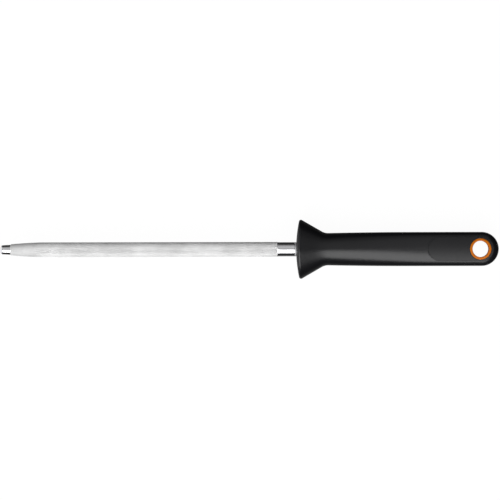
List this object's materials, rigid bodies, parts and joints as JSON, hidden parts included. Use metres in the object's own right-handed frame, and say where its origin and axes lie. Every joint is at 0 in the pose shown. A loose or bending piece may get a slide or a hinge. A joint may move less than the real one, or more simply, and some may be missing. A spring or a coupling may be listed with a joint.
{
  "type": "knife sharpening steel",
  "caption": "Grooved round steel rod on a black moulded handle, with a flared hand guard, label panels and an orange hanging ring.",
  "frame": {"origin": "middle of the object's length and width, on the surface that the rim of the hand guard touches; the rod's axis is half the guard's thickness above it", "axes": "+X along the rod's axis, from the tip towards the hanging ring; +Z out of one of the handle's two flat sides; +Y across the handle's width"},
  "size_m": [0.3376, 0.0398, 0.0319],
  "materials": {
    "grooved_steel": "fine lengthwise grooves, satin, with a polished tip and shoulder",
    "satin_steel": "satin",
    "core_plastic": "fine matte moulding",
    "soft_plastic": "soft satin moulding",
    "ring_plastic": "smooth moulding"
  },
  "bodies": {
    "root": {"steel_rod": "grooved_steel", "shoulder_washer": "satin_steel", "handle_core": "core_plastic", "soft_grip": "soft_plastic", "hanging_ring": "ring_plastic"}
  },
  "joints": []
}
